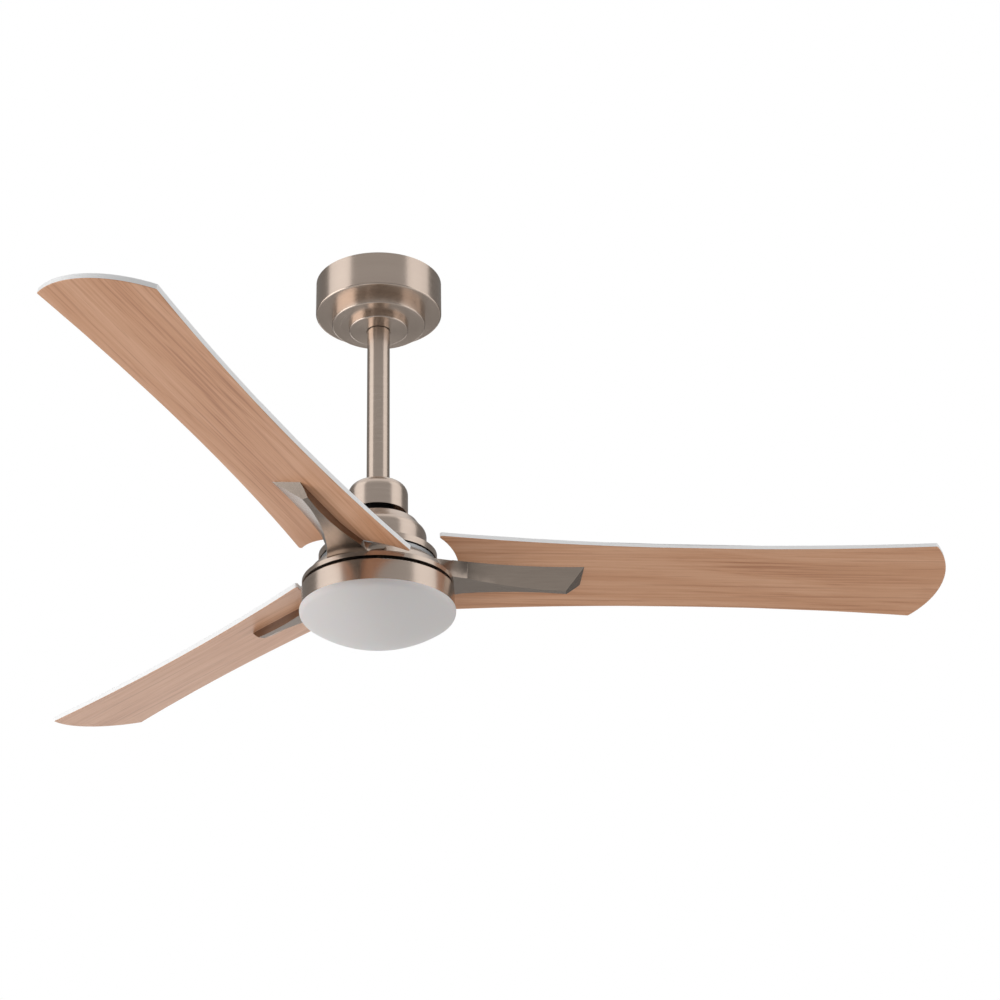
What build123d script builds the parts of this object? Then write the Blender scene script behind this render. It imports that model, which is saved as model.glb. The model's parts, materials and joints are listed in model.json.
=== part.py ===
from build123d import *
import math
import os

# Ceiling fan with a round light, in millimetres. +Z is up and the origin is the centre of the
# ceiling plane, so the whole fan hangs below zero.

# ---- Driving dimensions ----
blade_span = 1320.0          # across the circle that the blade tips sweep
blade_thickness = 6.0
blade_root_width = 142.0
blade_waist_width = 110.6
blade_tip_width = 133.6
blade_tip_arc = 105.0        # radius of the rounded tip
blade_pitch = 12.5           # degrees, trailing edge low
blade_sweep = 8.2            # degrees between a blade's centreline and its level line
blade_phase = 13.6           # degrees from +X to the first blade's level line
blade_count = 3

rod_radius = 13.35           # 3/4 inch pipe
rod_wall = 2.1
rod_length = 271.0

canopy_radius = 75.0
canopy_depth = 43.0
canopy_wall = 1.5
step_radius = 55.7
step_depth = 14.0
boss_radius = 35.4
boss_depth = 7.0
canopy_hole_gap = 1.15       # all round the rod

bracket_plate = 2.5          # sheet thickness
bracket_half_length = canopy_radius - 15.0
bracket_half_width = 22.0
ear_drop = 16.0
box_slot_inset = 15.55       # slot centre from the plate's end, for a 3 1/2 inch outlet box
box_slot_width = 5.0
box_slot_length = 14.0
leg_offset = 32.0            # outside of each leg from the centre
leg_half_width = 16.0
seat_half_width = 24.0
ball_radius = 21.0
ball_depth = 36.0            # ceiling to ball centre
ball_top_cut = 12.0          # flat top above the ball centre
rod_above_ball = 9.0         # rod end above the ball centre
fit_gap = 0.05

receiver_size = (52.0, 96.0, 16.0)
terminal_size = (26.0, 12.0, 4.5)
pin_radius = 3.0
wire_radius = 1.1

cover_radius = 34.6
cover_height = 38.1
cover_corner = 13.5
cover_wall = 1.2
cover_hole_gap = 0.6
cover_gap = 5.3              # between the cover and the motor housing

coupler_radius = rod_radius + 4.15
coupler_flange_radius = coupler_radius + 6.8
coupler_flange = 4.0
coupler_floor = 15.4         # below the end of the rod
coupler_height = 24.0        # above the end of the rod
coupler_pin_height = 12.0
set_screw_drop = 7.0         # coupler set screws below the pin
set_screw_radius = 2.5

motor_radius = 55.7
motor_height = 54.2
motor_wall_height = 30.0     # from the skirt's underside to where the wall turns in
motor_corner = 10.0
motor_corner_sweep = 50.0    # degrees that the rounded corner turns through
motor_ring = (motor_radius - 4.5, 38.6)    # radius and height of the crease above the corner
motor_neck = (motor_radius - 10.1, 46.8)
motor_top_radius = 28.0
motor_skirt_radius = motor_radius + 11.8
motor_skirt_height = 8.5
motor_skirt_edge = 0.7
motor_wall = 1.6

shaft_radius = 8.5
shaft_bore = 6.0
bearing_radius = 17.5
bearing_width = 10.0
bearing_ball_radius = 2.4
bearing_gap = 0.05
stator_height = 18.0
stator_slots = 12
winding_overhang = 3.0
air_gap = 0.7
magnet_thickness = 3.2
rotor_cup_wall = 2.5
rotor_plate = 3.0
rotor_radius = motor_radius - 5.7
rotor_screw_inset = 12.0
running_gap = 1.4            # between the fixed motor housing and the turning carrier

carrier_radius = motor_radius + 10.3
carrier_thickness = 4.2
hub_top_radius = carrier_radius + 0.5
hub_edge_radius = carrier_radius + 17.0
hub_lip_radius = carrier_radius + 20.0
hub_height = 25.3
hub_lip_height = 5.4
hub_wall = 4.0
blade_gap = 6.2              # between the hub lip and the blade's root arc
blade_centre_drop = 7.8      # carrier underside to where the blade planes cross the axis

arm_length = 235.0           # from the axis to the arm's tip
arm_half_width = 16.4
arm_tip_run = 16.0           # how far the tip's facet slopes back
arm_waist = 219.0            # where the two ridges come closest
arm_middle = 150.0           # where the long edges' offset, slope and bow are given
lead_ridge_line = (3.7, 0.252, -0.0016)
trail_ridge_line = (18.4, -0.061, 0.0013)
lead_foot_line = (-18.8, 0.07, -0.0007)
trail_foot_flare = 0.175     # widening of the trailing foot inside the flare's start
trail_flare_start = 130.0
root_flare = (74.0, 45.0)    # corner of the trailing flare, out and across
arm_depth = (11.76, 0.0106, 0.1844)        # at the axis, then per mm out and per mm across
arm_root_dip = 4.2           # how much deeper the underside gets at the root
arm_dip_start = 100.0
arm_dip_run = 33.0
arm_root_radius = 38.0
arm_root_block = (16.5, 15.0, 11.0)        # length, half width and height of the bolted root
arm_screw_radius = 2.0
arm_screw_pattern = (7.5, 8.5)             # in from the root's end, to each side
blade_screw_spots = [(112.0, -6.0), (112.0, 12.0), (188.0, 8.0)]
blade_screw_depth = 5.5
light_gap = 4.0              # between the turning hub and the fixed light

pan_radius = hub_lip_radius + 1.0
pan_height = 25.1
pan_wall = 1.5
light_plate_thickness = 1.5
pan_hole_radius = 24.0
pan_screw_radius = pan_radius - 17.0
shaft_nut_radius = 14.0
shaft_nut_height = 5.5
led_board_radius = pan_radius - 13.0
led_board_thickness = 1.6
standoff_radius = pan_radius - 25.0
led_rings = ((32.0, 12), (56.0, 20))       # radius of each ring of chips, and how many
lens_radius = pan_radius + 1.5
lens_sphere = 141.8
lens_depth = 36.5
lens_corner = 8.5
lens_wall = 2.2
lens_gap = 0.5

# ---- Levels, from the ceiling down ----
z_ball = -ball_depth
z_rod_top = z_ball + rod_above_ball
z_rod_end = z_rod_top - rod_length
z_motor_top = z_rod_end - coupler_floor
z_cover_bottom = z_motor_top + cover_gap
z_motor_bottom = z_motor_top - motor_height
z_carrier = z_motor_bottom - running_gap
z_hub_top = z_carrier - carrier_thickness
z_blade = z_hub_top - blade_centre_drop
z_hub_bottom = z_hub_top - hub_height
z_pan_top = z_hub_bottom - light_gap
z_plate = z_pan_top - pan_wall
z_pan_bottom = z_pan_top - pan_height
z_lens = z_pan_bottom - lens_gap
canopy_bottom = -(canopy_depth + step_depth + boss_depth)
z_receiver = -bracket_plate - receiver_size[2]
z_coupler_pin = z_rod_end + coupler_pin_height
z_set_screws = z_coupler_pin - set_screw_drop
z_cover_screw = z_cover_bottom + 8.0
stator_radius = rotor_radius - rotor_cup_wall - magnet_thickness - air_gap
bearing_pitch = (shaft_radius + bearing_radius) / 2
z_stator = z_carrier + rotor_plate + 8.0 + stator_height / 2
z_top_plate = z_stator + stator_height / 2 + 4.0
z_arm_root = z_hub_top - arm_root_block[2]
z_shaft_end = z_plate - light_plate_thickness - 7.5
z_board = z_pan_bottom + 8.6
z_tab = z_pan_bottom + 4.8

# ---- Where the three leads run ----
wire_y_rod = 6.8
wire_y_shaft = 2.6
wire_step = 3.2
wire_step_shaft = 2.5


# ---- Helpers ----
def tube(outer, inner, z_low, z_high):
    """A ring about Z between two levels."""
    height = z_high - z_low
    ring = Pos(0, 0, z_low) * extrude(Circle(outer), amount=height)
    if inner > 0:
        ring -= Pos(0, 0, z_low - 1) * extrude(Circle(inner), amount=height + 2)
    return ring


def block(x0, x1, y0, y1, z0, z1):
    """A box from its lowest to its highest corner."""
    centre = ((x0 + x1) / 2, (y0 + y1) / 2, (z0 + z1) / 2)
    return Pos(*centre) * Box(x1 - x0, y1 - y0, z1 - z0)


def turned(*edges):
    """Revolve a closed outline, drawn as (radius, height), about Z."""
    return revolve(Plane.XZ * make_face(list(edges)), Axis.Z)


def turned_polygon(*points):
    return revolve(Plane.XZ * make_face(Polyline(*points, close=True)), Axis.Z)


def around(shape, count, start=0.0):
    """Copies of a shape, evenly spaced about Z."""
    return [Rot(0, 0, start + 360.0 * i / count) * shape for i in range(count)]


def group(shapes):
    """Separate solids kept in one node."""
    return Compound(children=[solid for shape in shapes for solid in shape.solids()])


def rod_along(axis_start, axis_end, radius):
    """A round bar between two points."""
    line = Line(axis_start, axis_end)
    return extrude(Plane(origin=axis_start, z_dir=line % 0) * Circle(radius), amount=line.length)


def screw(head_radius, head_height, shank_radius, shank_length):
    """A pan-head screw pointing down, with the underside of its head at zero."""
    head = extrude(Circle(head_radius), amount=head_height)
    head = fillet(head.edges().sort_by(Axis.Z)[-1], head_height * 0.45)
    shank = Pos(0, 0, -shank_length) * extrude(Circle(shank_radius), amount=shank_length)
    recess = Pos(0, 0, head_height * 0.55) * Box(head_radius * 1.1, head_radius * 0.26, head_height)
    return head + shank - recess - Rot(0, 0, 90) * recess


def hex_nut(size_radius, bore, z_low, z_high):
    nut = Pos(0, 0, z_low) * extrude(RegularPolygon(size_radius, 6), amount=z_high - z_low)
    return nut - tube(bore, 0, z_low - 1, z_high + 1)


# ---- Ceiling side ----
def make_ceiling_bracket():
    plate = block(-bracket_half_length, bracket_half_length, -bracket_half_width, bracket_half_width,
                  -bracket_plate, 0)
    plate = fillet(plate.edges().filter_by(Axis.Z), 5)
    ear = block(bracket_half_length - bracket_plate, bracket_half_length,
                -bracket_half_width / 2, bracket_half_width / 2, -ear_drop, -bracket_plate)
    leg_foot = z_ball - ball_radius * 0.43
    leg = block(leg_offset - bracket_plate, leg_offset, -leg_half_width, leg_half_width,
                leg_foot, -bracket_plate)
    seat = block(-leg_offset, leg_offset, -seat_half_width, seat_half_width,
                 leg_foot - bracket_plate - 0.5, leg_foot)
    seat = fillet(seat.edges().filter_by(Axis.Z), 6)
    bracket = plate + ear + mirror(ear, Plane.YZ) + leg + mirror(leg, Plane.YZ) + seat
    bracket -= Pos(0, 0, z_ball) * Sphere(ball_radius + fit_gap)
    entry = rod_radius + 1.2
    bracket -= block(-entry, entry, 0, seat_half_width + 1, leg_foot - bracket_plate - 2, leg_foot + 1)
    slot = extrude(SlotOverall(box_slot_length, box_slot_width), amount=2 * bracket_plate)
    for side in (-1, 1):
        bracket -= Pos(side * (bracket_half_length - box_slot_inset), 0, -1.5 * bracket_plate) * slot
    bracket -= tube(9.0, 0, -2 * bracket_plate, 1)
    key = block(-2, 2, -ball_radius * 0.99, -ball_radius * 0.8, leg_foot - bracket_plate, leg_foot + 3)
    return bracket + key


def make_hanger_ball():
    ball = Pos(0, 0, z_ball) * Sphere(ball_radius)
    ball -= block(-50, 50, -50, 50, z_ball + ball_top_cut, z_ball + 60)
    ball -= tube(rod_radius, 0, z_ball - 60, z_ball + 60)
    ball -= block(-2.4, 2.4, -ball_radius - 1, -ball_radius * 0.76, z_ball - 20, z_ball + 1)
    ball -= rod_along((-40, 0, z_ball), (40, 0, z_ball), pin_radius)
    ball -= rod_along((0, 40, z_ball + 5), (0, 0, z_ball + 5), 2.0)
    return ball


def make_hanger_pin():
    reach = ball_radius - 1.5
    pin = rod_along((-reach, 0, z_ball), (reach, 0, z_ball), pin_radius)
    return pin - rod_along((reach - 3, 0, z_ball + 5), (reach - 3, 0, z_ball - 5), 0.8)


def make_ball_set_screw():
    return rod_along((0, ball_radius - 1.6, z_ball + 5), (0, rod_radius, z_ball + 5), 2.0)


def make_downrod():
    rod = tube(rod_radius, rod_radius - rod_wall, z_rod_end, z_rod_top)
    for level in (z_ball, z_coupler_pin):
        rod -= rod_along((-40, 0, level), (40, 0, level), pin_radius)
    return rod


def make_receiver():
    width, length, height = receiver_size
    box = block(-width / 2, width / 2, -length / 2, length / 2, z_receiver, -bracket_plate)
    box = fillet(box.edges().filter_by(Axis.Z), 3)
    box = fillet(box.edges().group_by(Axis.Z)[0], 1.2)
    socket = block(-width / 2 + 4, width / 2 - 4, -length / 2 - 3, -length / 2,
                   z_receiver + 4, -bracket_plate - 4)
    return box + socket


def make_terminal_block():
    width, depth, height = terminal_size
    body = block(-width / 2, width / 2, -depth / 2, depth / 2, z_receiver - height, z_receiver)
    body = Pos(0, wire_y_rod, 0) * body
    for x in (-wire_step, 0, wire_step):
        body -= Pos(x, wire_y_rod, z_receiver - height) * extrude(Circle(wire_radius), amount=3)
    return body


# ---- Canopy ----
def canopy_solid(shrink):
    """The three-step canopy as a solid; shrink offsets every face inwards."""
    steps = [
        (canopy_radius, 0.0, canopy_depth, 2.0),
        (step_radius, canopy_depth, step_depth, 1.6),
        (boss_radius, canopy_depth + step_depth, boss_depth, 1.6),
    ]
    drums = []
    for radius, top, depth, corner in steps:
        overlap = shrink if top else min(shrink, 1.0)
        drum = tube(radius - shrink, 0, shrink - top - depth, overlap - top)
        drums.append(fillet(drum.edges().sort_by(Axis.Z)[0], max(corner - shrink, 0.3)))
    return drums[0] + drums[1:]


def make_canopy():
    shell = canopy_solid(0.0) - canopy_solid(canopy_wall)
    return shell - tube(rod_radius + canopy_hole_gap, 0, canopy_bottom - 2, canopy_bottom + 6)


def make_canopy_clips():
    """Two spring leaves inside the canopy that grip the bracket's ears."""
    wall = math.sqrt((canopy_radius - canopy_wall) ** 2 - 36) - 0.02
    ear = bracket_half_length + 0.35
    leaf = 0.8
    outline = Polyline(
        (wall, -24), (wall, -12), (wall - leaf, -12), (wall - leaf, -24 + leaf),
        (ear + leaf, -24 + leaf), (ear + leaf, -6), (ear + 3, -3), (ear + 3 - leaf, -3 + leaf / 2),
        (ear, -6), (ear, -24), close=True)
    clip = extrude(Plane.XZ * make_face(outline), amount=6, both=True)
    return group([clip, mirror(clip, Plane.YZ)])


# ---- Coupling ----
def cover_solid(shrink):
    """The coupling cover's outside, or with shrink its inside."""
    low = z_cover_bottom - (1.0 if shrink else 0.0)
    cup = tube(cover_radius - shrink, 0, low, z_cover_bottom + cover_height - shrink)
    return fillet(cup.edges().sort_by(Axis.Z)[-1], cover_corner - shrink)


def make_coupling_cover():
    shell = cover_solid(0.0) - cover_solid(cover_wall)
    shell -= tube(rod_radius + cover_hole_gap, 0, z_cover_bottom, z_cover_bottom + cover_height + 5)
    hole = rod_along((0, cover_radius + 2, z_cover_screw), (0, cover_radius - 6, z_cover_screw), 1.5)
    return shell - hole


def make_cover_screw():
    """The small screw that locks the cover, in its back."""
    return Pos(0, cover_radius, z_cover_screw) * Rot(-90, 0, 0) * screw(3.0, 1.8, 1.5, 6.0)


def make_motor_coupler():
    top = z_rod_end + coupler_height
    body = tube(coupler_radius, 0, z_motor_top, top)
    body = chamfer(body.edges().sort_by(Axis.Z)[-1], 1.5)
    flange = tube(coupler_flange_radius, 0, z_motor_top, z_motor_top + coupler_flange)
    body = body + flange
    body -= tube(rod_radius, 0, z_rod_end, top + 1)
    body -= tube(shaft_radius, 0, z_motor_top - 1, z_rod_end + 1)
    body -= rod_along((-40, 0, z_coupler_pin), (40, 0, z_coupler_pin), pin_radius)
    for side in (-1, 1):
        body -= rod_along((0, side * 40, z_set_screws), (0, 0, z_set_screws), set_screw_radius)
    for hole in housing_screw_places():
        body -= hole * tube(1.5, 0, -10, 10)
    return body


def housing_screw_places():
    middle = (coupler_radius + coupler_flange_radius) / 2
    return [Rot(0, 0, 45 + 90 * i) * Pos(middle, 0, z_motor_top + coupler_flange) for i in range(4)]


def make_housing_screws():
    one = screw(2.5, 1.6, 1.5, coupler_flange + motor_wall + 2)
    return group([place * one for place in housing_screw_places()])


def make_coupler_pin():
    reach = coupler_radius + 4
    pin = rod_along((-reach, 0, z_coupler_pin), (reach, 0, z_coupler_pin), pin_radius)
    head = rod_along((-reach - 2, 0, z_coupler_pin), (-reach, 0, z_coupler_pin), pin_radius + 1.5)
    pin = pin + head
    return pin - rod_along((reach - 2, 0, z_coupler_pin + 9), (reach - 2, 0, z_coupler_pin - 9), 0.8)


def make_coupler_clip():
    """The hairpin clip through the end of the coupler pin."""
    x = coupler_radius + 2
    reach = 7
    leg = rod_along((x, 0, z_coupler_pin - reach), (x, 0, z_coupler_pin + reach), 0.8)
    loop = Pos(x, 2.0, z_coupler_pin + reach) * Rot(0, 90, 0) * Torus(2.0, 0.8)
    loop -= block(x - 2, x + 2, -1, 5, z_coupler_pin, z_coupler_pin + reach)
    return leg + loop


def make_coupler_screws():
    head = coupler_radius + 1.5
    return group([
        rod_along((0, side * head, z_set_screws), (0, side * rod_radius, z_set_screws), set_screw_radius)
        for side in (-1, 1)])


# ---- Motor ----
def housing_solid(shrink):
    """The motor housing's outside, or with shrink its inside."""
    def at(radius, height):
        return (radius - shrink, z_motor_bottom + height - shrink)

    def on_corner(share):
        turn = math.radians(motor_corner_sweep * share)
        return at(motor_radius - motor_corner + motor_corner * math.cos(turn),
                  motor_wall_height + motor_corner * math.sin(turn))

    low = z_motor_bottom - (1.0 if shrink else 0.0)
    below = [(0, low), (motor_skirt_radius - shrink, low),
             at(motor_skirt_radius, motor_skirt_height - motor_skirt_edge),
             at(motor_skirt_radius - motor_skirt_edge, motor_skirt_height),
             at(motor_radius, motor_skirt_height + motor_skirt_edge),
             on_corner(0)]
    above = [on_corner(1), at(*motor_ring), at(*motor_neck), at(motor_top_radius, motor_height),
             (0, z_motor_top - shrink), (0, low)]
    sides = [Line(a, b) for points in (below, above) for a, b in zip(points, points[1:])]
    return turned(*sides, ThreePointArc(on_corner(0), on_corner(0.5), on_corner(1)))


def make_motor_housing():
    shell = housing_solid(0.0) - housing_solid(motor_wall)
    shell -= tube(shaft_radius + fit_gap, 0, z_motor_top - 9, z_motor_top + 1)
    for place in housing_screw_places():
        shell -= place * tube(1.5, 0, -20, 1)
    return shell


def make_shaft():
    return tube(shaft_radius, shaft_bore, z_shaft_end, z_rod_end)


def bearing_levels():
    return [z_top_plate - 0.5 + rotor_plate + 1.5, z_carrier - 1.0 - bearing_width]


def race(outer, inner, z_low):
    ring = tube(outer, inner, z_low, z_low + bearing_width)
    groove = Pos(0, 0, z_low + bearing_width / 2) * Torus(bearing_pitch, bearing_ball_radius + bearing_gap)
    return ring - groove


def make_bearing_inner_rings():
    return group([race(bearing_pitch - 1.5, shaft_radius, level) for level in bearing_levels()])


def make_bearing_outer_rings():
    return group([race(bearing_radius, bearing_pitch + 1.5, level) for level in bearing_levels()])


def make_bearing_balls():
    balls = []
    for level in bearing_levels():
        ball = Pos(bearing_pitch, 0, level + bearing_width / 2) * Sphere(bearing_ball_radius)
        balls += around(ball, 10)
    return group(balls)


def make_stator_core():
    low, high = z_stator - stator_height / 2, z_stator + stator_height / 2
    core = tube(stator_radius * 0.5, shaft_radius, low, high)
    tooth = block(stator_radius * 0.5 - 1, stator_radius - 2.2, -2.5, 2.5, low, high)
    core += around(tooth, stator_slots)
    tips = tube(stator_radius, stator_radius - 2.6, low, high)
    notch = block(stator_radius - 6, stator_radius + 2, -1.2, 1.2, low - 1, high + 1)
    for cut in around(notch, stator_slots, 180.0 / stator_slots):
        tips -= cut
    return core + tips


def make_stator_windings():
    low, high = z_stator - stator_height / 2, z_stator + stator_height / 2
    coil = block(stator_radius * 0.56, stator_radius - 4, -4.6, 4.6,
                 low - winding_overhang, high + winding_overhang)
    coil = fillet(coil.edges().filter_by(Axis.X), 2.5)
    coil -= block(0, stator_radius, -2.5, 2.5, low, high)
    return group(around(coil, stator_slots))


def make_magnet_ring():
    inner = stator_radius + air_gap
    half = stator_height / 2 + 2
    return tube(inner + magnet_thickness, inner, z_stator - half, z_stator + half)


def make_rotor_cup():
    wall = tube(rotor_radius, rotor_radius - rotor_cup_wall, z_carrier, z_top_plate)
    floor = tube(rotor_radius, bearing_radius + 4, z_carrier, z_carrier + rotor_plate)
    cup = wall + floor
    for place in rotor_screw_places():
        cup -= place * tube(1.5, 0, -12, 12)
    return cup


def make_rotor_top_plate():
    plate = tube(rotor_radius, bearing_pitch + 2, z_top_plate, z_top_plate + rotor_plate)
    seat = tube(bearing_radius + 3.5, 0, z_top_plate, bearing_levels()[0] + bearing_width)
    top = plate + seat
    top -= tube(bearing_radius, 0, bearing_levels()[0], bearing_levels()[0] + 40)
    return top - tube(bearing_pitch + 2, 0, z_top_plate - 1, z_top_plate + 40)


def rotor_screw_places():
    spot = Pos(rotor_radius - rotor_screw_inset, 0, z_carrier + rotor_plate)
    return [Rot(0, 0, 30 + 60 * i) * spot for i in range(6)]


def make_rotor_screws():
    return group([place * screw(2.8, 1.6, 1.5, 6.0) for place in rotor_screw_places()])


def make_carrier_plate():
    plate = tube(carrier_radius, bearing_pitch + 2, z_hub_top, z_carrier)
    low = bearing_levels()[1]
    plate += tube(bearing_radius + 4, bearing_pitch + 2, low - 1.5, z_carrier)
    plate -= tube(bearing_radius, 0, low, z_carrier + 5)
    for place in rotor_screw_places():
        plate -= place * tube(1.5, 0, -6, 1)
    for place in arm_screw_places():
        plate -= place * tube(arm_screw_radius, 0, 0, 40)
    return plate


# ---- Hub, arms and blades ----
def blade_place(index):
    """From a blade's own frame (x out along it, z up off its face) to its place on the hub."""
    turn = Rot(0, 0, blade_phase + 360.0 * index / blade_count)
    return Pos(0, 0, z_blade) * turn * Rot(-blade_pitch, 0, 0) * Rot(0, 0, -blade_sweep)


def arm_heading(index):
    """Level frame that looks out along an arm."""
    return Rot(0, 0, blade_phase - blade_sweep + 360.0 * index / blade_count)


def arm_floor(out, across):
    """Height of the arm's underside facet below the blade, lower towards the root."""
    dip = arm_root_dip * min(1.0, max(0.0, (arm_dip_start - out) / arm_dip_run))
    return -arm_depth[0] - arm_depth[1] * out + arm_depth[2] * across - dip


def bowed(line, out):
    """How far across a long edge lies at a place along the arm."""
    offset, slope, bow = line
    run = out - arm_middle
    return offset + slope * run + bow * run * run


def trail_foot(out):
    return arm_half_width + trail_foot_flare * max(0.0, trail_flare_start - out)


def arm_section(out, trailing):
    """One slice of the arm: foot, ridge, ridge, foot."""
    lead_ridge = bowed(lead_ridge_line, out)
    trail_ridge = bowed(trail_ridge_line, out)
    corners = [
        (bowed(lead_foot_line, out), 0.0),
        (lead_ridge, arm_floor(out, lead_ridge)),
        (trail_ridge, arm_floor(out, trail_ridge)),
        (trailing, 0.0)]
    slice_plane = Plane(origin=(out, 0, 0), x_dir=(0, 1, 0), z_dir=(1, 0, 0))
    return slice_plane * make_face(Polyline(*corners, close=True))


def arm_screw_places():
    """Screws that hold each arm's root up against the carrier, two to an arm."""
    inwards, sideways = arm_screw_pattern
    return [arm_heading(i) * Pos(arm_root_radius + inwards, side * sideways, z_arm_root)
            for i in range(blade_count) for side in (-1, 1)]


def make_arm(index):
    flare_out, flare_across = root_flare
    inner = arm_root_radius + 2.0
    sections = [arm_section(inner, flare_across * inner / flare_out),
                arm_section(flare_out - 8.0, flare_across - 3.0),
                arm_section(flare_out, flare_across)]
    for out in (88.0, 100.0, 115.0, 135.0, 160.0, 190.0, arm_waist, arm_length + 12.0):
        sections.append(arm_section(out, trail_foot(out)))
    arm = loft(sections, ruled=True)
    waist_depth = -arm_floor(arm_waist, bowed(trail_ridge_line, arm_waist))
    slope = math.degrees(math.atan2(arm_tip_run, waist_depth))
    arm -= Pos(arm_length, 0, 0) * Rot(0, slope, 0) * block(0, 60, -80, 80, -60, 60)
    arm = blade_place(index) * arm
    arm -= tube(arm_root_radius, 0, z_blade - 80, z_blade + 80)
    length, half_width, _ = arm_root_block
    start = arm_root_radius + 0.5
    root = block(start, start + length, -half_width, half_width, z_arm_root, z_hub_top)
    arm = arm + arm_heading(index) * root
    arm -= tube(hub_lip_radius, 0, z_hub_top, z_hub_top + 60)
    for out, across in blade_screw_spots:
        arm -= blade_place(index) * Pos(out, across, 0) * tube(arm_screw_radius, 0, -blade_screw_depth, 1)
    for place in arm_screw_places():
        arm -= place * tube(arm_screw_radius, 0, -20, 20)
        arm -= place * tube(4.0, 0, -30, 0)
    return arm


def hub_profile():
    edge_z = z_hub_bottom + hub_lip_height + 1.9
    slant = (hub_edge_radius - hub_top_radius, z_hub_top - edge_z)
    inner_edge = hub_edge_radius - hub_wall - 1.0
    return turned_polygon(
        (hub_top_radius - hub_wall - 0.5, z_hub_top),
        (hub_top_radius, z_hub_top),
        (hub_top_radius + slant[0] * 0.62, z_hub_top - slant[1] * 0.52),
        (hub_edge_radius, edge_z),
        (hub_lip_radius, z_hub_bottom + hub_lip_height),
        (hub_lip_radius, z_hub_bottom),
        (inner_edge, z_hub_bottom),
        (inner_edge, edge_z - 1.0),
        (hub_top_radius - hub_wall - 0.5, z_hub_top - hub_wall))


def make_hub_ring(arms):
    ring = hub_profile()
    for arm in arms:
        ring -= arm
    return ring


def make_blade(index):
    root_radius = hub_lip_radius + blade_gap
    half_root, half_waist, half_tip = blade_root_width / 2, blade_waist_width / 2, blade_tip_width / 2
    root_x = math.sqrt(root_radius ** 2 - half_root ** 2)
    tip_radius = blade_span / 2
    arc_centre = tip_radius - blade_tip_arc
    tip_x = arc_centre + math.sqrt(blade_tip_arc ** 2 - half_tip ** 2)
    waist_x = root_x + (tip_x - root_x) * 0.53
    edges = []
    for side in (-1, 1):
        points = [(root_x, side * half_root), (waist_x, side * half_waist), (tip_x, side * half_tip)]
        edges.append(Spline(*points, tangents=[(1, -side * 0.105), (1, side * 0.085)]))
    edges.append(ThreePointArc((tip_x, -half_tip), (tip_radius, 0), (tip_x, half_tip)))
    edges.append(ThreePointArc((root_x, -half_root), (root_radius, 0), (root_x, half_root)))
    blade = extrude(make_face(edges), amount=blade_thickness)
    blade = fillet(blade.edges().filter_by(Axis.Z), 2.5)
    blade = fillet(blade.edges().group_by(Axis.Z)[-1] + blade.edges().group_by(Axis.Z)[0], 0.8)
    for out, across in blade_screw_spots:
        blade -= Pos(out, across, 0) * tube(arm_screw_radius + 0.4, 0, -1, blade_thickness + 1)
    return blade_place(index) * blade


def make_blade_screws():
    top = blade_thickness + 0.8
    pieces = [blade_place(i) * Pos(out, across, top) * screw(4.2, 2.4, arm_screw_radius, top + blade_screw_depth)
              for i in range(blade_count) for out, across in blade_screw_spots]
    return group(pieces)


def make_blade_washers():
    washer = tube(5.6, arm_screw_radius + 0.2, blade_thickness, blade_thickness + 0.8)
    return group([blade_place(i) * Pos(out, across, 0) * washer
                  for i in range(blade_count) for out, across in blade_screw_spots])


def make_arm_screws():
    shank = arm_root_block[2] + carrier_thickness - 0.4
    upright = Rot(180, 0, 0) * screw(3.6, 2.2, arm_screw_radius, shank)
    return group([place * upright for place in arm_screw_places()])


# ---- Light ----
def make_shaft_nuts():
    upper = hex_nut(shaft_nut_radius, shaft_radius, z_plate, z_plate + shaft_nut_height)
    lower_top = z_plate - light_plate_thickness
    lower = hex_nut(shaft_nut_radius, shaft_radius, lower_top - shaft_nut_height, lower_top)
    return group([upper, lower])


def make_light_plate():
    plate = tube(pan_radius - pan_wall - 1.5, shaft_radius, z_plate - light_plate_thickness, z_plate)
    for place in around(Pos(pan_screw_radius, 0, 0), 3, 30):
        plate -= place * tube(2.0, 0, z_plate - 5, z_plate + 1)
    return plate


def make_light_pan():
    pan = tube(pan_radius, 0, z_pan_bottom, z_pan_top)
    pan = fillet(pan.edges().sort_by(Axis.Z)[-1], 1.2)
    pan -= tube(pan_radius - pan_wall, 0, z_pan_bottom - 1, z_plate)
    pan -= tube(pan_hole_radius, 0, z_plate - 1, z_pan_top + 1)
    tab_ring = tube(pan_radius - pan_wall + 0.5, pan_radius - pan_wall - 2.9, z_tab - 1.2, z_tab)
    pan += around(tab_ring & wedge(30.0, pan_radius), 3)
    for place in around(Pos(pan_screw_radius, 0, 0), 3, 30):
        pan -= place * tube(1.5, 0, z_plate - 1, z_pan_top + 1)
    return pan


def wedge(angle, reach):
    """A tall slice of cake about +X."""
    half = math.radians(angle / 2)
    far = reach * 1.4
    outline = Polyline((0, 0), (far * math.cos(half), -far * math.sin(half)),
                       (far * math.cos(half), far * math.sin(half)), close=True)
    return Pos(0, 0, z_lens - 60) * extrude(make_face(outline), amount=120)


def make_pan_screws():
    head_at = z_plate - light_plate_thickness
    one = Rot(180, 0, 0) * screw(3.4, 1.8, 1.5, light_plate_thickness + 1.3)
    return group(around(Pos(pan_screw_radius, 0, head_at) * one, 3, 30))


def make_led_driver():
    top = z_plate - light_plate_thickness
    box = block(24, 60, -27, 27, top - 11, top)
    return fillet(box.edges().filter_by(Axis.Z), 2)


def make_board_standoffs():
    post = tube(3.0, 0, z_board, z_plate - light_plate_thickness)
    return group(around(Pos(standoff_radius, 0, 0) * post, 3, 60))


def make_led_board():
    return tube(led_board_radius, 16.0, z_board - led_board_thickness, z_board)


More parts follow.
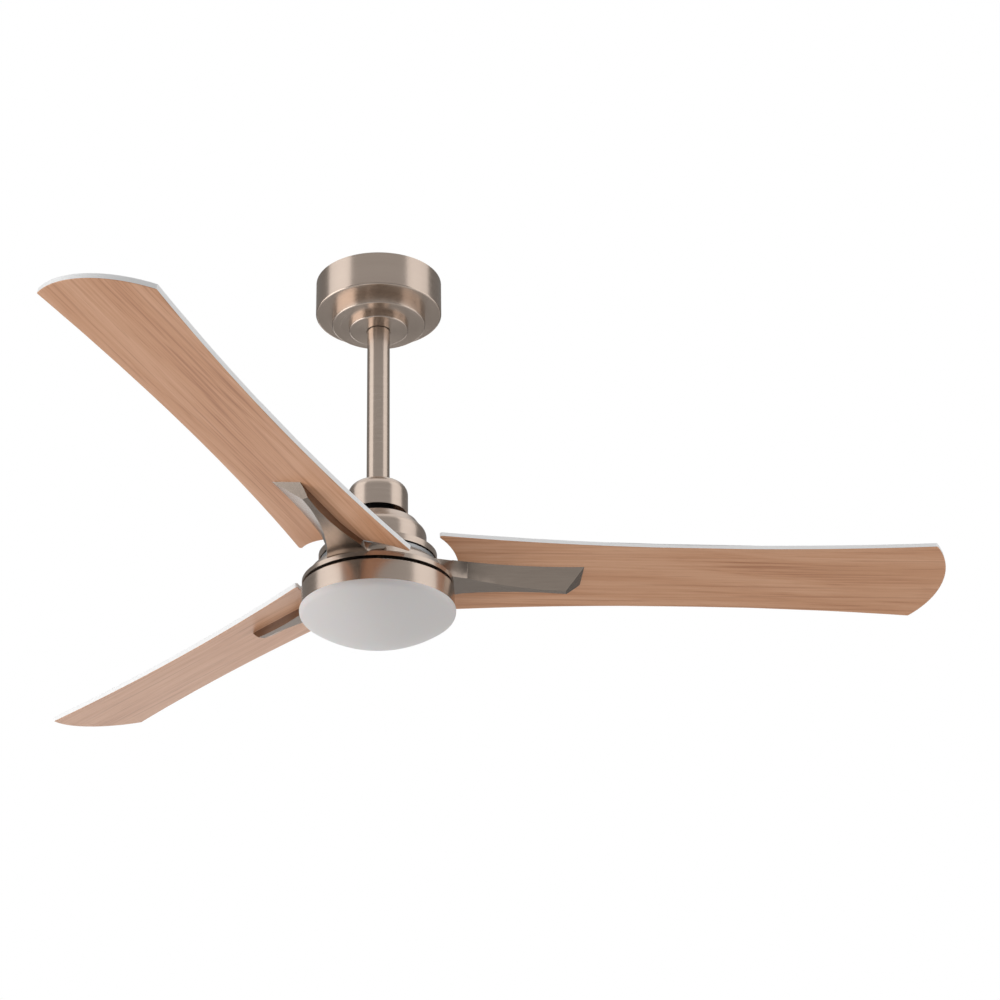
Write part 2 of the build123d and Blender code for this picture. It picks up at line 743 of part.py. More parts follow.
def make_led_chips():
    low = z_board - led_board_thickness
    chip = block(-2.2, 2.2, -2.2, 2.2, low - 0.9, low)
    return group([one for radius, count in led_rings for one in around(Pos(radius, 0, 0) * chip, count)])


def make_light_connector():
    return Pos(0, wire_y_shaft, 0) * block(-8, 8, -4.5, 4.5, z_shaft_end - 9, z_shaft_end - 2)


def make_lead_wires():
    """Three leads that run down the rod and the hollow shaft to the light's connector."""
    wires = []
    top = z_receiver - terminal_size[2] + 2.5
    bottom = z_shaft_end - 2
    for side in (-1, 0, 1):
        points = [
            (side * wire_step, wire_y_rod, top),
            (side * wire_step, wire_y_rod, z_rod_end + 8.5),
            (side * wire_step_shaft, wire_y_shaft, z_rod_end - 1.0),
            (side * wire_step_shaft, wire_y_shaft, bottom)]
        path = FilletPolyline(*points, radius=6.0)
        wires.append(sweep(Plane(origin=points[0], z_dir=(0, 0, -1)) * Circle(wire_radius), path=path))
    return group(wires)


def dome_solid(radius, sphere, corner, z_top, z_low):
    """A round bowl: a drum cut by a sphere, with its rim corner rounded."""
    drum = tube(radius, 0, z_low - 5, z_top)
    bowl = drum & (Pos(0, 0, z_low + sphere) * Sphere(sphere))
    level_edges = bowl.edges().filter_by(lambda edge: edge.bounding_box().size.Z < 0.01)
    rim = level_edges.sort_by(Axis.Z)[0]
    return fillet(rim, corner)


def make_lens():
    z_low = z_lens - lens_depth
    outside = dome_solid(lens_radius, lens_sphere, lens_corner, z_lens, z_low)
    inside = dome_solid(lens_radius - lens_wall, lens_sphere - lens_wall, lens_corner - lens_wall,
                        z_lens + 1, z_low + lens_wall)
    collar_outer = pan_radius - pan_wall - 3.5
    flange = tube(lens_radius - 1, collar_outer - 2.5, z_lens - 2.0, z_lens)
    collar = tube(collar_outer, collar_outer - 2.5, z_lens - 2.0, z_tab + 2.0)
    lug_ring = tube(pan_radius - pan_wall - 0.6, collar_outer - 1, z_tab + 0.5, z_tab + 2.0)
    lens = (outside - inside) + (flange & outside) + collar
    return lens + around(lug_ring & wedge(24.0, pan_radius), 3)


# ---- Build and write every node ----
def make_all():
    arms = [make_arm(i) for i in range(blade_count)]
    parts = {
        "ceiling_bracket": make_ceiling_bracket(),
        "hanger_ball": make_hanger_ball(),
        "hanger_pin": make_hanger_pin(),
        "ball_set_screw": make_ball_set_screw(),
        "receiver_box": make_receiver(),
        "terminal_block": make_terminal_block(),
        "canopy": make_canopy(),
        "canopy_clips": make_canopy_clips(),
        "downrod": make_downrod(),
        "lead_wires": make_lead_wires(),
        "coupling_cover": make_coupling_cover(),
        "cover_screw": make_cover_screw(),
        "motor_coupler": make_motor_coupler(),
        "coupler_pin": make_coupler_pin(),
        "coupler_clip": make_coupler_clip(),
        "coupler_screws": make_coupler_screws(),
        "housing_screws": make_housing_screws(),
        "motor_housing": make_motor_housing(),
        "shaft": make_shaft(),
        "bearing_inner_rings": make_bearing_inner_rings(),
        "bearing_outer_rings": make_bearing_outer_rings(),
        "bearing_balls": make_bearing_balls(),
        "stator_core": make_stator_core(),
        "stator_windings": make_stator_windings(),
        "magnet_ring": make_magnet_ring(),
        "rotor_cup": make_rotor_cup(),
        "rotor_top_plate": make_rotor_top_plate(),
        "rotor_screws": make_rotor_screws(),
        "carrier_plate": make_carrier_plate(),
        "hub_ring": make_hub_ring(arms),
        "blade_screws": make_blade_screws(),
        "blade_washers": make_blade_washers(),
        "arm_screws": make_arm_screws(),
        "shaft_nuts": make_shaft_nuts(),
        "light_plate": make_light_plate(),
        "light_pan": make_light_pan(),
        "pan_screws": make_pan_screws(),
        "led_driver": make_led_driver(),
        "board_standoffs": make_board_standoffs(),
        "led_board": make_led_board(),
        "led_chips": make_led_chips(),
        "light_connector": make_light_connector(),
        "lens": make_lens(),
    }
    for i in range(blade_count):
        parts[f"blade_arm_{i + 1}"] = arms[i]
        parts[f"blade_{i + 1}"] = make_blade(i)
    return parts


os.makedirs("parts", exist_ok=True)
for node, shape in make_all().items():
    export_step(shape, f"parts/{node}.step")
    print(node, len(shape.solids()), round(shape.volume, 1))
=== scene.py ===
# %% [markdown]
# # A ceiling fan with a light, finished in Blender
#
# The metal, the blades and the lens already exist as exact solids, one object for each
# real piece. This notebook gives them their looks: every piece gets its finish, the cast
# arms and the blades get soft edges, and a small photo studio is set up around them.
# All lengths are in metres, and zero is where the fan's axis meets the ceiling.

import json
import math

import bmesh
import bpy
from mathutils import Matrix, Vector


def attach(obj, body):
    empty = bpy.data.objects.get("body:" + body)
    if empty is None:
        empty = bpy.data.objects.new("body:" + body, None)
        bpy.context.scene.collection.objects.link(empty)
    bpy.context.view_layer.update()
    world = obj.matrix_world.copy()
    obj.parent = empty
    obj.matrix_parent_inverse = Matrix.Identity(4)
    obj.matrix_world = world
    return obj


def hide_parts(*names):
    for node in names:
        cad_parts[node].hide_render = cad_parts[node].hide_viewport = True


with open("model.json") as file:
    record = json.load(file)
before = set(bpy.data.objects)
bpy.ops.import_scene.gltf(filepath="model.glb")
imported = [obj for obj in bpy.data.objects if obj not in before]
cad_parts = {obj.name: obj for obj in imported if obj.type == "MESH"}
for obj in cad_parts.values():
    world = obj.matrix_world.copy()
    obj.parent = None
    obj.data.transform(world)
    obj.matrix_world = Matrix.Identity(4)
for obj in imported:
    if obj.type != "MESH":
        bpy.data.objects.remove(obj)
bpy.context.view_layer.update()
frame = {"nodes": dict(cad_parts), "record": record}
solids = frame["nodes"]

# %% [markdown]
# ## Writing a finish as arithmetic
#
# A procedural finish is a sum of small patterns: long grain, fine grain, a scratch here
# and there. Written as a node graph it is hard to read, so one small class wraps an
# output socket. Adding, subtracting, multiplying, dividing or raising two wires then adds
# the Math node for it, and `node` adds any other kind of node with its settings and its
# sockets.

# %% A wire between two shader nodes
# A Mix node has sockets for several kinds of value, so its colour sockets go by number.
MIX_FACTOR, MIX_FIRST, MIX_SECOND, MIX_RESULT = 0, 6, 7, 2


class Wire:
    """An output socket of a shader node, which can be used in a sum."""

    def __init__(self, socket):
        self.socket = socket

    def node(self, kind, settings=None, sockets=None, out=0):
        """Adds a node of any kind in the same tree and returns a wire from one output."""
        node = self.socket.id_data.nodes.new(kind)
        for name, value in (settings or {}).items():
            if name == "stops":
                fill_ramp(node.color_ramp, value)
            else:
                setattr(node, name, value)
        for name, value in (sockets or {}).items():
            plug(node.inputs[name], value)
        return Wire(node.outputs[out])

    def maths(self, operation, *values):
        return self.node("ShaderNodeMath", {"operation": operation}, dict(enumerate(values)))

    def __add__(self, other):
        return self.maths("ADD", self, other)

    def __sub__(self, other):
        return self.maths("SUBTRACT", self, other)

    def __rsub__(self, other):
        return self.maths("SUBTRACT", other, self)

    def __mul__(self, other):
        return self.maths("MULTIPLY", self, other)

    def __truediv__(self, other):
        return self.maths("DIVIDE", self, other)

    def __rtruediv__(self, other):
        return self.maths("DIVIDE", other, self)

    def __pow__(self, other):
        return self.maths("POWER", self, other)

    def __rpow__(self, other):
        return self.maths("POWER", other, self)

    __radd__ = __add__
    __rmul__ = __mul__

    def over(self, low, high):
        """0 below low, 1 above high and a smooth step between."""
        return self.node("ShaderNodeMapRange", {"interpolation_type": "SMOOTHSTEP"},
                         {"Value": self, "From Min": low, "From Max": high})

    def blend(self, first, second):
        """first where this wire is 0, second where it is 1. Both are colours."""
        return self.node("ShaderNodeMix", {"data_type": "RGBA"},
                         {MIX_FACTOR: self, MIX_FIRST: first, MIX_SECOND: second}, MIX_RESULT)

    def along(self, direction):
        """How far this place lies along a direction."""
        return self.node("ShaderNodeVectorMath", {"operation": "DOT_PRODUCT"},
                         {0: self, 1: direction}, "Value")


print("wires ready")

# %% [markdown]
# ## Plugs, ramps and colours
#
# A socket takes either a wire or a plain value, and `plug` does whichever is given.
# Colours are written here as a paint card gives them, from 0 to 255. Blender mixes light
# and not paint numbers, so `rgb` turns them into linear light with the usual curve for
# screens.

# %% Plugs, ramps and colours
def plug(socket, value):
    """Links a wire to a socket, or sets the socket to a plain value."""
    if isinstance(value, Wire):
        socket.id_data.links.new(value.socket, socket)
    elif isinstance(value, tuple) and len(value) == 3 and socket.type == "RGBA":
        socket.default_value = (*value, 1.0)
    else:
        socket.default_value = value


def fill_ramp(ramp, stops):
    """Sets a colour ramp from pairs of place and colour."""
    while len(ramp.elements) < len(stops):
        ramp.elements.new(1.0)
    for element, (place, colour) in zip(ramp.elements, stops):
        element.position = place
        element.color = (*colour, 1.0)


def rgb(red, green, blue):
    """A colour as a paint card gives it, 0 to 255, turned into linear light."""
    return tuple((c / 255 / 12.92) if c <= 10 else ((c / 255 + 0.055) / 1.055) ** 2.4
                 for c in (red, green, blue))


print("a mid grey of 128 is", round(rgb(128, 128, 128)[0], 3), "in linear light")

# %% [markdown]
# ## Starting a finish
#
# Every finish here is one Principled shader. What is the same all over is set on its own
# sockets, and what varies is built from `clouds`, a soft noise from 0 to 1. Reading the
# noise at a squeezed place draws the clouds out into strokes, which is how brushing and
# wood grain are made below. `scratches` lifts the surface by a few hundredths of a
# millimetre, too little to model and enough to break up a reflection.

# %% Starting a finish
SCRATCH_DEPTH = 0.00003
finishes = {}


def new_finish(name, fixed):
    """Starts a material with plain values; returns its shader and a wire with each place."""
    material = bpy.data.materials.new(name)
    material.use_nodes = True
    tree = material.node_tree
    shader = tree.nodes["Principled BSDF"]
    for socket, value in fixed.items():
        plug(shader.inputs[socket], value)
    finishes[name] = material
    return shader, Wire(tree.nodes.new("ShaderNodeTexCoord").outputs["Object"])


def clouds(place, scale, detail, roughness=0.5, warp=0.0):
    """Noise with about `scale` clouds to the metre."""
    return place.node("ShaderNodeTexNoise", None,
                      {"Vector": place, "Scale": scale, "Detail": detail,
                       "Roughness": roughness, "Distortion": warp})


def strokes(x, y, z, **look):
    """Noise read at a squeezed place, one cloud to each unit of x, y and z."""
    return clouds(x.node("ShaderNodeCombineXYZ", None, {"X": x, "Y": y, "Z": z}), 1.0, **look)


def scratches(height, strength):
    return height.node("ShaderNodeBump", None,
                       {"Strength": strength, "Distance": SCRATCH_DEPTH, "Height": height})


print("scratches are up to", SCRATCH_DEPTH * 1000, "mm deep")

# %% [markdown]
# ## Brushed nickel
#
# The canopy, the rod, the motor housing and the light drum are turned or pressed steel,
# plated with satin nickel and brushed while they spin. The scratches therefore run
# around the axis: they change quickly with height and radius, and slowly with the
# angle. A noise is read at (cosine, sine, height and radius), squeezed hard in the last,
# so that it stretches into rings. It moves the roughness a little and lifts a fine bump.

# %% Nickel for round pieces
NICKEL_DULL = rgb(188, 171, 158)
NICKEL_BRIGHT = rgb(206, 190, 177)
FINE_RINGS, BROAD_RINGS = 2600.0, 160.0     # to the metre
FINE_TURNS, BROAD_TURNS = 0.6, 0.7          # how quickly a ring changes on its way round
HEIGHT_PER_RADIUS = 1.7
RING_CRISPNESS = 0.6
BRUSH_ROUGHNESS = 0.25
BRUSH_SPREAD = 0.06
BRUSH_BUMP = 0.06
BRUSH_STRETCH = 0.6
ACROSS_THE_BRUSHING = 0.25


def rings(place, per_metre, turns, detail):
    """Noise drawn out into rings around the fan's axis."""
    side_socket = place.node("ShaderNodeSeparateXYZ", None, {0: place}).socket
    side, depth, height = (Wire(s) for s in side_socket.node.outputs)
    radius = (side * side + depth * depth) ** 0.5
    return strokes(side / radius * turns, depth / radius * turns,
                   (radius + height * HEIGHT_PER_RADIUS) * per_metre,
                   detail=detail, roughness=RING_CRISPNESS)


def round_nickel(name):
    shader, place = new_finish(name, {"Metallic": 1.0, "Anisotropic": BRUSH_STRETCH,
                                      "Anisotropic Rotation": ACROSS_THE_BRUSHING})
    fine = rings(place, FINE_RINGS, FINE_TURNS, detail=3.0)
    broad = rings(place, BROAD_RINGS, BROAD_TURNS, detail=1.0)
    gloss = BRUSH_ROUGHNESS + (fine - 0.5) * BRUSH_SPREAD + (broad - 0.5) * BRUSH_SPREAD
    plug(shader.inputs["Roughness"], gloss)
    plug(shader.inputs["Base Color"], (fine * 0.5 + broad * 0.5).blend(NICKEL_DULL, NICKEL_BRIGHT))
    plug(shader.inputs["Normal"], scratches(fine, BRUSH_BUMP))


round_nickel("turned_nickel")
print("turned nickel:", len(finishes["turned_nickel"].node_tree.nodes), "nodes")

# %% [markdown]
# ## Where each blade points
#
# Three arms and three blades share one shape, a third of a turn apart. Each is pitched to
# push the air and swept back a little. A finish that follows a blade needs its own three
# directions: out along it, across it and up from its face.

# %% Where each blade points
BLADES = 3
FIRST_BLADE = 13.6
BLADE_ANGLES = [math.radians(FIRST_BLADE + 360.0 / BLADES * step) for step in range(BLADES)]
BLADE_HEIGHT = -0.381
BLADE_PITCH = math.radians(-12.5)
BLADE_SWEEP = math.radians(-8.2)


def blade_axes(angle):
    """The directions out along a blade, across it and up from its face."""
    turn = (Matrix.Rotation(angle, 3, "Z") @ Matrix.Rotation(BLADE_PITCH, 3, "X")
            @ Matrix.Rotation(BLADE_SWEEP, 3, "Z"))
    return [tuple(turn.col[i]) for i in range(3)]


def blade_place(place, angle):
    """Wires with how far a point lies out along a blade, across it and above its face."""
    centred = place.node("ShaderNodeVectorMath", {"operation": "SUBTRACT"},
                         {0: place, 1: (0.0, 0.0, BLADE_HEIGHT)})
    return [centred.along(axis) for axis in blade_axes(angle)]


print("blades at", [round(math.degrees(a), 1) for a in BLADE_ANGLES], "degrees")

# %% [markdown]
# ## Nickel for the arms
#
# The arms are castings with flat facets, plated like the rest but brushed by hand along
# their length. Each arm points another way, so the strokes are laid along that arm's own
# directions: few changes on the way out, many across and up. The two colours are darker
# than those of the turned pieces: painted shade on the same nickel, standing in for the
# darker look of the arms' facets.

# %% Nickel for the arms
# painted shade: the arms' nickel is made darker than the nickel of the turned pieces
ARM_DULL_PAINTED_SHADE = rgb(150, 137, 127)
ARM_BRIGHT_PAINTED_SHADE = rgb(168, 155, 144)
STROKES_OUT, STROKES_ACROSS = 30.0, 420.0   # changes to the metre
ARM_ROUGHNESS = 0.24
ARM_SPREAD = 0.05
ARM_BUMP = 0.02


def arm_nickel(name, angle):
    shader, place = new_finish(name, {"Metallic": 1.0})
    out, across, up = blade_place(place, angle)
    fine = strokes(out * STROKES_OUT, across * STROKES_ACROSS, up * STROKES_ACROSS, detail=3.0)
    plug(shader.inputs["Roughness"], ARM_ROUGHNESS + (fine - 0.5) * ARM_SPREAD)
    # the strokes pick between two tones of the painted-shade nickel
    plug(shader.inputs["Base Color"], fine.blend(ARM_DULL_PAINTED_SHADE, ARM_BRIGHT_PAINTED_SHADE))
    plug(shader.inputs["Normal"], scratches(fine, ARM_BUMP))


for number, angle in enumerate(BLADE_ANGLES, 1):
    arm_nickel(f"arm_nickel_{number}", angle)
print(BLADES, "arm finishes")

# %% [markdown]
# ## Printed beech on the blades
#
# A fan blade is a board of pressed fibre with a printed and sealed wood film on the
# underside, and white film on the top and the edges. The grain runs out along the blade.
# Several patterns make it: slow wide bands, the arched figure that a flat-sawn board
# shows, fine grain, darker streaks and thin pores. All are stretched along the blade.
# Each blade reads them from another place in the noise, so no two blades are copies.

# %% The patterns in the wood
BEECH_PALE = rgb(222, 172, 138)
BEECH_MID = rgb(206, 151, 114)
BEECH_DARK = rgb(168, 110, 76)
BLADE_WHITE = rgb(250, 250, 250)
BEECH_STOPS = [(0.0, BEECH_DARK), (0.35, BEECH_MID), (1.0, BEECH_PALE)]

# changes to the metre along and across the blade, and where in the noise each one starts
BOW = dict(length=2.2, width=5.0, detail=1.0, start=40.0)
BANDS = dict(length=1.4, width=22.0, detail=2.0, start=11.0)
FINE_GRAIN = dict(length=6.0, width=330.0, detail=4.0, start=7.0)
STREAKS = dict(length=3.2, width=170.0, detail=2.0, warp=0.3, start=31.0)
PORES = dict(length=24.0, width=800.0, detail=1.0, start=23.0)
FIGURE_LENGTH, FIGURE_WIDTH, FIGURE_BOW = 2.6, 52.0, 6.0
GRAIN_DEPTH = 20.0
print("wood runs from", [round(c, 3) for c in BEECH_DARK], "to", [round(c, 3) for c in BEECH_PALE])

# %% [markdown]
# ## Mixing the wood
#
# The figure and the bands set the tone, the fine grain breaks it up, and a ramp turns it
# into wood colours. Streaks and pores are the tops of two more noises, laid over in the
# darkest tone. The film is thinner than a millimetre, so the height above the blade's
# face says where the wood ends and the white begins.

# %% Beech face and white back
STREAKS_SHOW = (0.56, 0.70)
PORES_SHOW = (0.58, 0.72)
TONE_SHOWS = (0.38, 0.62)
FIGURE_SHARE, BAND_SHARE = 0.6, 0.4
TONE_STRENGTH, GRAIN_STRENGTH, TONE_START = 0.45, 1.3, 0.3
STREAK_STRENGTH, PORE_STRENGTH = 0.45, 0.3
FILM_THICKNESS = 0.0006
FILM_BLUR = 0.2
SEED_STEP = 17.0


def beech(name, angle, seed):
    shader, place = new_finish(name, {"Roughness": 0.42, "Coat Weight": 0.12, "Coat Roughness": 0.25})
    out, across, up = blade_place(place, angle)

    def grain(length, width, detail, start, warp=0.0):
        return strokes(out * length + (seed + start), across * width, up * GRAIN_DEPTH,
                       detail=detail, warp=warp)

    figure = strokes(out * FIGURE_LENGTH + seed, across * FIGURE_WIDTH + grain(**BOW) * FIGURE_BOW, 0.0,
                     detail=4.0, roughness=0.55, warp=0.5)
    tone = (figure * FIGURE_SHARE + grain(**BANDS) * BAND_SHARE).over(*TONE_SHOWS)
    shade = tone * TONE_STRENGTH + (grain(**FINE_GRAIN) - 0.5) * GRAIN_STRENGTH + TONE_START
    wood = place.node("ShaderNodeValToRGB", {"stops": BEECH_STOPS}, {"Fac": shade}, "Color")
    pored = (grain(**PORES).over(*PORES_SHOW) * PORE_STRENGTH).blend(wood, BEECH_DARK)
    wood = (grain(**STREAKS).over(*STREAKS_SHOW) * STREAK_STRENGTH).blend(pored, BEECH_DARK)
    under = 1.0 - up.over(FILM_THICKNESS * (1 - FILM_BLUR), FILM_THICKNESS * (1 + FILM_BLUR))
    plug(shader.inputs["Base Color"], under.blend(BLADE_WHITE, wood))


for number, angle in enumerate(BLADE_ANGLES, 1):
    beech(f"beech_{number}", angle, seed=SEED_STEP * number)
print(BLADES, "beech finishes")

# %% [markdown]
# ## The lens
#
# The lens is opal acrylic: milky right through, with a matt face so that the lamp behind
# it can't be seen. The lamp is off, so a pale body with a little light scattered under
# the surface is enough.

# %% Opal lens
OPAL_SHADE = rgb(221, 216, 215)
OPAL_LIGHT = rgb(225, 221, 220)
OPAL_CLOUDS = 9.0
shader, place = new_finish("opal", {"Roughness": 0.55, "IOR": 1.49, "Subsurface Weight": 0.15,
                                    "Subsurface Scale": 0.004})
plug(shader.inputs["Base Color"], clouds(place, OPAL_CLOUDS, detail=1.0).blend(OPAL_SHADE, OPAL_LIGHT))
print("opal lens ready")

# %% [markdown]
# ## Finishes inside the fan
#
# Lowering the canopy or raising the coupling cover shows the bracket, the hanger ball and
# the coupler. The motor and the lamp stay out of sight, but a part in a library may be
# taken to pieces, so each of their materials gets a finish too. A little cloudiness in
# the gloss keeps large plain faces from looking computed.

# %% Plain finishes
PLAIN = {
    "zinc_steel": dict(colour=rgb(190, 192, 190), metal=1.0, rough=0.34, grain=220.0, spread=0.12),
    "black_casting": dict(colour=rgb(34, 33, 33), metal=0.0, rough=0.5, grain=900.0, spread=0.16),
    "ball_nylon": dict(colour=rgb(38, 38, 40), metal=0.0, rough=0.38, grain=120.0, spread=0.08),
    "receiver_plastic": dict(colour=rgb(231, 231, 228), metal=0.0, rough=0.45, grain=500.0, spread=0.1),
    "terminal_plastic": dict(colour=rgb(222, 220, 210), metal=0.0, rough=0.4, grain=300.0, spread=0.08),
    "turned_steel": dict(colour=rgb(200, 200, 200), metal=1.0, rough=0.22, grain=400.0, spread=0.08),
    "stator_laminations": dict(colour=rgb(96, 100, 106), metal=0.9, rough=0.42, grain=700.0, spread=0.12),
    "copper_winding": dict(colour=rgb(196, 104, 58), metal=0.9, rough=0.3, grain=1500.0, spread=0.12),
    "ferrite": dict(colour=rgb(52, 52, 55), metal=0.1, rough=0.55, grain=600.0, spread=0.1),
    "cast_aluminium": dict(colour=rgb(178, 180, 182), metal=1.0, rough=0.45, grain=900.0, spread=0.14),
    "fibre_washer": dict(colour=rgb(128, 52, 34), metal=0.0, rough=0.7, grain=700.0, spread=0.1),
    "board_white": dict(colour=rgb(236, 236, 234), metal=0.0, rough=0.4, grain=300.0, spread=0.06),
    "led_phosphor": dict(colour=rgb(238, 206, 84), metal=0.0, rough=0.35, grain=900.0, spread=0.06),
}
CLOUD_SHADE = 0.86
BROAD_SCALE = 0.08


def plain_finish(name, colour, metal, rough, grain, spread):
    shader, place = new_finish(name, {"Metallic": metal})
    mottle = clouds(place, grain, detail=2.0) * 0.5 + clouds(place, grain * BROAD_SCALE, detail=1.0) * 0.5
    plug(shader.inputs["Roughness"], rough + (mottle - 0.5) * spread)
    plug(shader.inputs["Base Color"], mottle.blend(tuple(c * CLOUD_SHADE for c in colour), colour))


for name, values in PLAIN.items():
    plain_finish(name, **values)
print(len(PLAIN), "plain finishes")

# %% [markdown]
# ## Three lead wires
#
# The leads down the rod are black, white and blue. They come as one object, so the colour
# is chosen by which side of the rod's middle a point lies on. The change from one colour
# to the next is under half a millimetre wide.

# %% Wire sleeves
SLEEVE_BLACK = rgb(30, 30, 32)
SLEEVE_WHITE = rgb(230, 230, 228)
SLEEVE_BLUE = rgb(40, 80, 150)
SLEEVE_SPLIT = 0.0002
shader, place = new_finish("wire_sleeve", {"Roughness": 0.45})
ahead = place.along((0.0, 1.0, 0.0)).over(-SLEEVE_SPLIT, SLEEVE_SPLIT)
aside = place.along((1.0, 0.0, 0.0)).over(-SLEEVE_SPLIT, SLEEVE_SPLIT)
plug(shader.inputs["Base Color"], ahead.blend(aside.blend(SLEEVE_BLACK, SLEEVE_WHITE), SLEEVE_BLUE))
print("wire sleeves ready")

# %% [markdown]
# ## Putting the finishes on
#
# Each solid names the stuff it is made of, and takes the finish of that name. Three
# stuffs have a finish with another name. The arms and the blades get one each in the
# next step, because their grain runs their own way.

# %% Dress the solids
SLOT_FINISH = {"satin_nickel": "turned_nickel", "opal_lens": "opal", "beech_face": "beech_1"}
slots = {row["node"]: row["material_slot"] for row in frame["record"]["subparts"]}


def dress(obj, finish):
    obj.data.materials.clear()
    obj.data.materials.append(finishes[finish])


for name, obj in solids.items():
    slot = slots[name]
    dress(obj, SLOT_FINISH.get(slot, slot))
print("dressed", len(solids), "solids in", len(set(slots.values())), "stuffs")

# %% [markdown]
# ## Soft edges on the arms and the blades
#
# No cast or sawn edge is perfectly sharp, and the thin bright line along each ridge of an
# arm is the light caught by its rounded edge. The exact solid's surface is copied, its
# many small triangles are joined back into whole facets, and a narrow bevel rounds every
# edge between two facets. Shading that leans towards the large faces then keeps each
# facet flat and leaves the turn to its narrow edge.

# %% Round the edges of a copy
WELD_GAP = 1e-6
FACET_JOIN = math.radians(1.6)
EDGE_STEPS = 3
BIG_FACES_FIRST = 100
ARM_EDGE, ARM_SHARP_FROM = 0.0018, math.radians(9)
BLADE_EDGE, BLADE_SHARP_FROM = 0.0008, math.radians(50)


def rounded_mesh(node, name, width, sharp_from):
    """The surface of a solid, with a narrow bevel along its sharp edges."""
    mesh = solids[node].data.copy()
    mesh.name = name
    work = bmesh.new()
    work.from_mesh(mesh)
    bmesh.ops.remove_doubles(work, verts=work.verts, dist=WELD_GAP)
    bmesh.ops.dissolve_limit(work, angle_limit=FACET_JOIN, verts=work.verts, edges=work.edges)
    sharp = [e for e in work.edges if e.is_manifold and e.calc_face_angle() > sharp_from]
    bmesh.ops.bevel(work, geom=sharp, offset=width, offset_type="WIDTH", segments=EDGE_STEPS,
                    profile=0.5, affect="EDGES", clamp_overlap=True)
    bmesh.ops.triangulate(work, faces=[f for f in work.faces if len(f.verts) > 4])
    work.to_mesh(mesh)
    work.free()
    for polygon in mesh.polygons:
        polygon.use_smooth = True
    return mesh


def soften(node, name, finish, width, sharp_from):
    """Shows a copy with rounded edges in the solid's place, and lets it turn with the rotor."""
    piece = bpy.data.objects.new(name, rounded_mesh(node, name, width, sharp_from))
    bpy.context.scene.collection.objects.link(piece)
    even = piece.modifiers.new("even_facets", "WEIGHTED_NORMAL")
    even.mode = "FACE_AREA"
    even.weight = BIG_FACES_FIRST
    dress(piece, finish)
    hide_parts(node)
    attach(piece, "rotor")
    print(name, len(piece.data.polygons), "faces")


for number in range(1, BLADES + 1):
    soften(f"blade_arm_{number}", f"arm_{number}_rounded", f"arm_nickel_{number}", ARM_EDGE, ARM_SHARP_FROM)
    soften(f"blade_{number}", f"blade_{number}_rounded", f"beech_{number}", BLADE_EDGE, BLADE_SHARP_FROM)

# %% [markdown]
# ## The floor
#
# A plain pale floor far below the fan closes the studio. Light that falls past the fan
# comes back from it softly, so the undersides aren't lit from the lamps alone.

# %% Floor
FLOOR_HEIGHT = -2.7
FLOOR_SIZE = 9.0
FLOOR_PAINT = (0.6, 0.6, 0.59)

bpy.ops.mesh.primitive_plane_add(size=FLOOR_SIZE, location=(0, 0, FLOOR_HEIGHT))
floor = bpy.context.object
floor.name = "studio_floor"
new_finish("floor_paint", {"Roughness": 0.7, "Base Color": FLOOR_PAINT})
dress(floor, "floor_paint")
print("floor at", FLOOR_HEIGHT)

# %% [markdown]
# ## The room
#
# Brushed metal shows its surroundings more than itself, so the room matters as much as
# the finish. It is grey in front and darker behind and below, so the reflections fade
# from light to dark round each piece. The ceiling is bright. A bright screen straight behind the fan
# is what the arms' leading facets reflect. The lens of the camera sees plain white
# instead of all this.

# %% Room light
ROOM_FRONT = (0.46, 0.46, 0.46)
ROOM_BACK = (0.24, 0.235, 0.23)
ROOM_BELOW = (0.22, 0.22, 0.22)
ROOM_ABOVE = (1.0, 1.0, 1.0)
SCREEN = (1.2, 1.2, 1.2)
WHITE = (1.0, 1.0, 1.0)

world = bpy.data.worlds.new("studio")
bpy.context.scene.world = world
world.use_nodes = True
way = Wire(world.node_tree.nodes.new("ShaderNodeTexCoord").outputs["Generated"])
behind = way.along((0.0, 1.0, 0.0)).over(-0.35, 0.45)
below = way.along((0.0, 0.0, -1.0)).over(-0.05, 0.2)
above = way.along((0.0, 0.0, 1.0)).over(0.6, 0.85)
screen = way.along((0.0, 1.0, 0.0)).over(0.93, 0.96)
room = below.blend(behind.blend(ROOM_FRONT, ROOM_BACK), ROOM_BELOW)
room = screen.blend(above.blend(room, ROOM_ABOVE), SCREEN)
seen = way.node("ShaderNodeLightPath", out="Is Camera Ray")
plug(world.node_tree.nodes["Background"].inputs["Color"], seen.blend(room, WHITE))
print("room light mixed with", len(world.node_tree.nodes), "nodes")

# %% [markdown]
# ## Soft boxes
#
# Two tall soft boxes stand left and right and draw a bright band down each side of every
# round piece. Two wide ones lie low at the sides and light the undersides of the arms and
# the blades. They are large and weak rather than small and strong, because a small strong
# one shows as a hot spot on the facets. The left side is the brighter one.

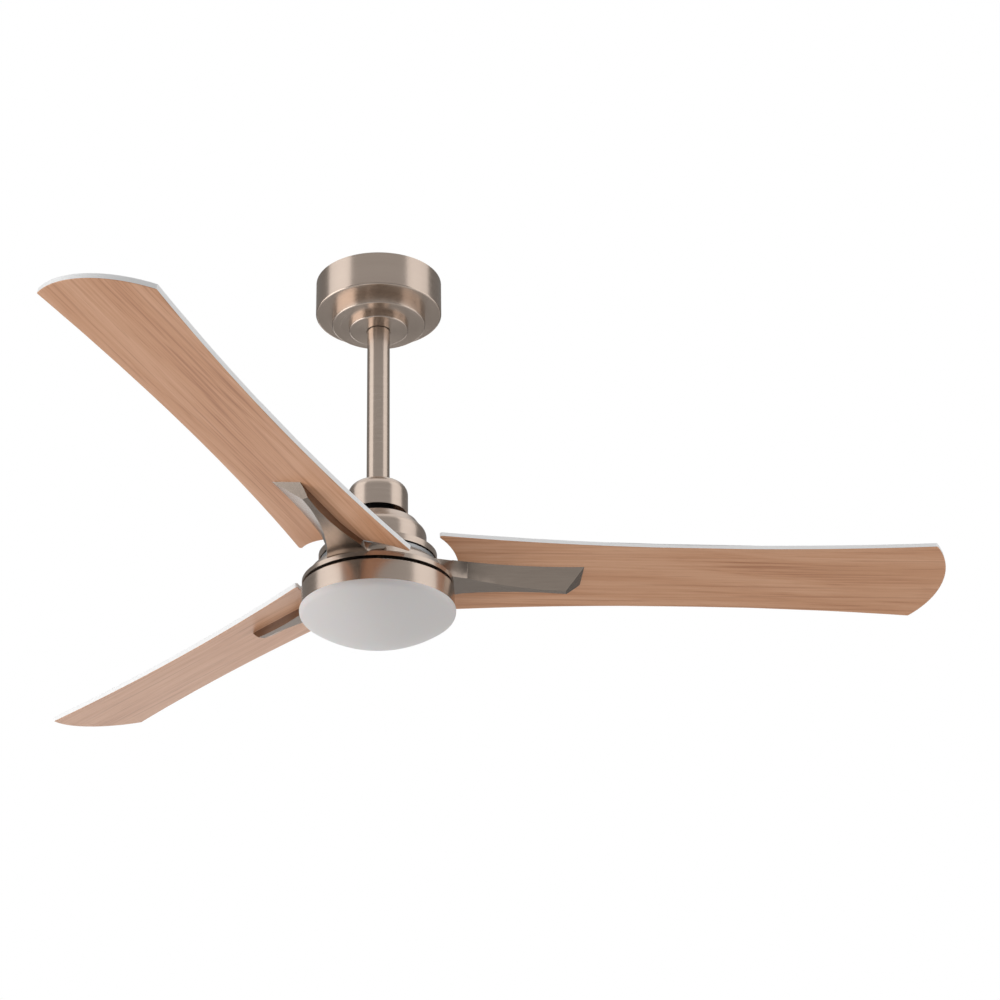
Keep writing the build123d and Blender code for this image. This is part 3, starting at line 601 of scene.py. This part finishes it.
# %% Soft boxes
TALL, WIDE = (1.9, 3.2), (3.0, 2.2)
FAN_MIDDLE = Vector((0.0, 0.0, -0.3))
SOFT_BOXES = {
    "left_box": dict(place=(-2.2, -0.5, 0.3), size=TALL, watts=17.0),
    "right_box": dict(place=(2.2, -0.5, 0.3), size=TALL, watts=14.5),
    "left_low_box": dict(place=(-2.5, 0.1, -1.5), size=WIDE, watts=38.0),
    "right_low_box": dict(place=(2.5, 0.1, -1.5), size=WIDE, watts=15.0),
}


def soft_box(name, place, size, watts):
    """A rectangle of light that faces the middle of the fan."""
    lamp = bpy.data.lights.new(name, "AREA")
    lamp.shape = "RECTANGLE"
    lamp.size, lamp.size_y = size
    lamp.energy = watts
    box = bpy.data.objects.new(name, lamp)
    bpy.context.scene.collection.objects.link(box)
    box.location = place
    box.rotation_euler = (FAN_MIDDLE - Vector(place)).to_track_quat("-Z", "Y").to_euler()
    box.visible_camera = False


for name, values in SOFT_BOXES.items():
    soft_box(name, **values)
print(len(SOFT_BOXES), "soft boxes,", sum(b["watts"] for b in SOFT_BOXES.values()), "watts in all")

# %% [markdown]
# ## The camera
#
# The camera stands about three metres away, below the fan, and looks up at it as someone
# in the room would. A long lens keeps the near blade from looking much larger than the
# far ones. The shift moves the picture sideways without turning the camera.

# %% Camera
CAMERA_PLACE = (0.0, -2.538, -1.5515)
SENSOR_WIDTH = 36.0
LENS_LENGTH = 88.6
SIDE_SHIFT = 0.122
TILT_UP = math.radians(26.46)
LEAN = math.radians(0.2)

camera_data = bpy.data.cameras.new("camera")
camera_data.sensor_width = SENSOR_WIDTH
camera_data.lens = LENS_LENGTH
camera_data.shift_x = SIDE_SHIFT
camera = bpy.data.objects.new("camera", camera_data)
bpy.context.scene.collection.objects.link(camera)
camera.location = CAMERA_PLACE
looking = Matrix.Rotation(math.pi / 2 + TILT_UP, 3, "X") @ Matrix.Rotation(LEAN, 3, "Z")
camera.rotation_euler = looking.to_euler()
bpy.context.scene.camera = camera
bpy.context.scene.view_settings.view_transform = "Standard"
print("camera", [round(v, 3) for v in camera.location])
